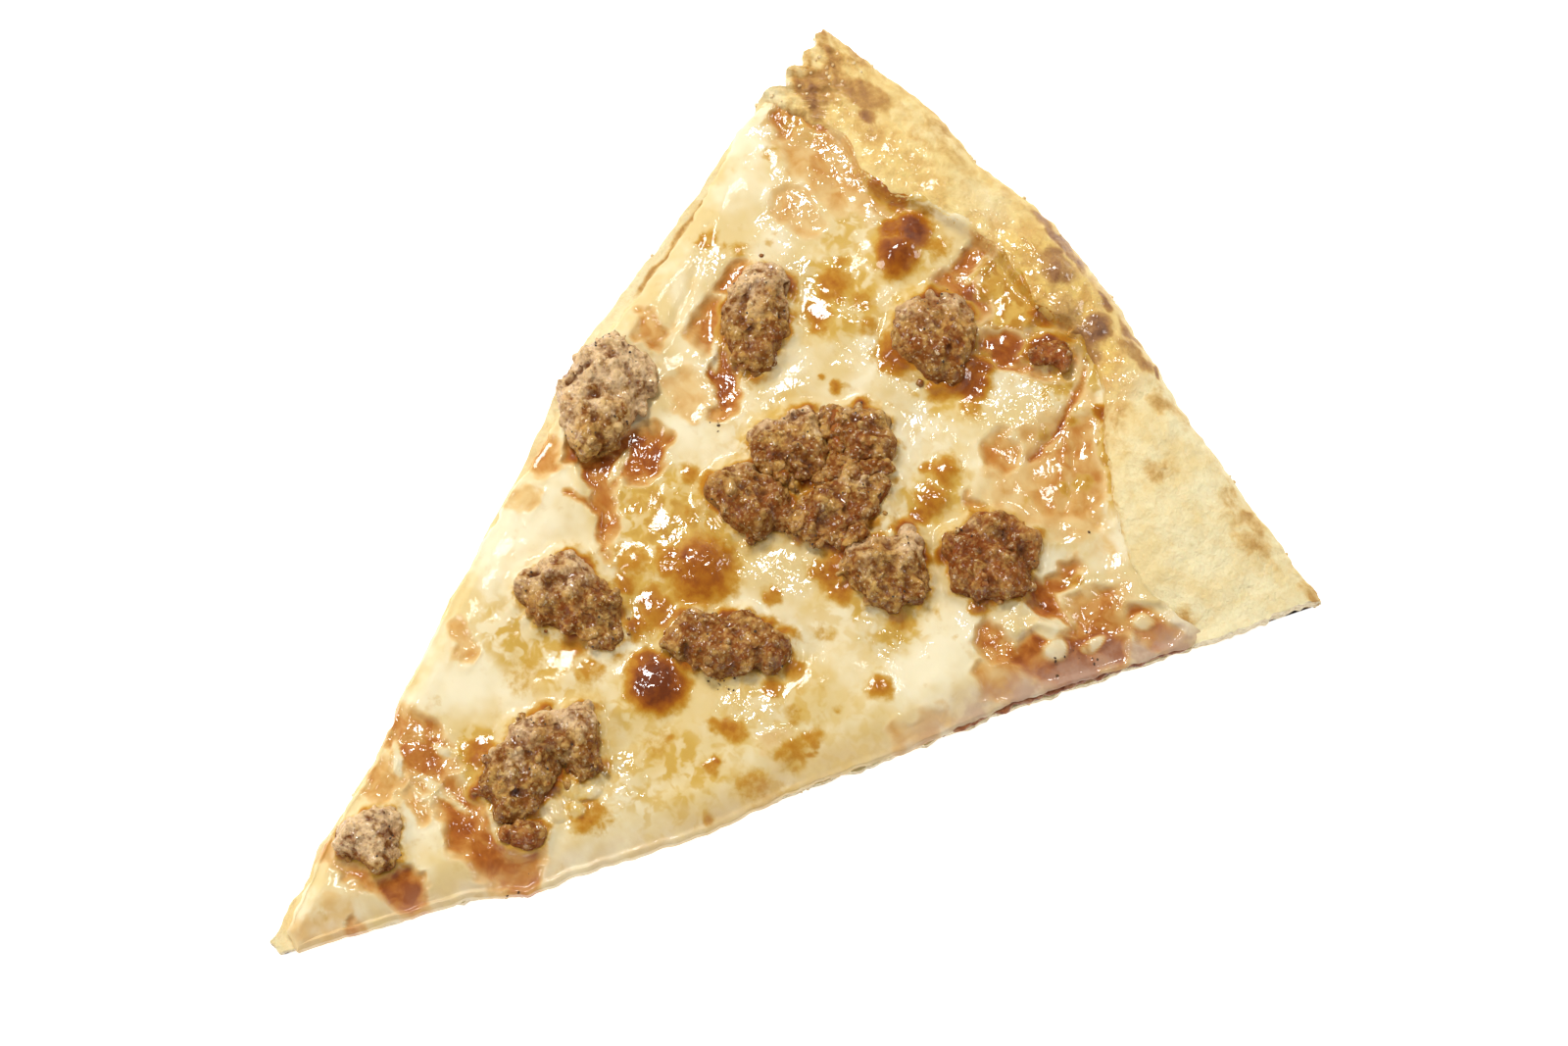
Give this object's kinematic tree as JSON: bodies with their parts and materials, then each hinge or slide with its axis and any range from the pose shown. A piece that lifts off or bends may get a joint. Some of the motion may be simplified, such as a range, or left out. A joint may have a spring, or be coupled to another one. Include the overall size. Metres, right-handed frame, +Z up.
{
  "type": "slice of sausage pizza",
  "caption": "Flat wedge of baked pizza with a puffed rim, tomato sauce, browned melted cheese and crumbled sausage.",
  "frame": {"origin": "on the flat underside, below the slice's middle, midway between the cut tip and the rim", "axes": "+Y from the tip to the rim, +Z up out of the toppings, +X to the right seen from above with the rim ahead"},
  "size_m": [0.1639, 0.2245, 0.0162],
  "materials": {
    "crust": "baked bread, dry, pale gold with brown blisters",
    "sauce": "cooked tomato sauce, moist",
    "cheese": "melted cheese, oily, cream with golden brown spots",
    "sausage": "cooked ground meat, moist and grainy"
  },
  "bodies": {
    "root": {"crust": "crust", "sauce": "sauce", "cheese": "cheese", "sausage_01": "sausage", "sausage_02": "sausage", "sausage_03": "sausage", "sausage_04": "sausage", "sausage_05": "sausage", "sausage_06": "sausage", "sausage_07": "sausage", "sausage_08": "sausage", "sausage_09": "sausage", "sausage_10": "sausage", "sausage_11": "sausage", "sausage_12": "sausage", "sausage_13": "sausage", "sausage_14": "sausage", "sausage_15": "sausage"}
  },
  "joints": []
}
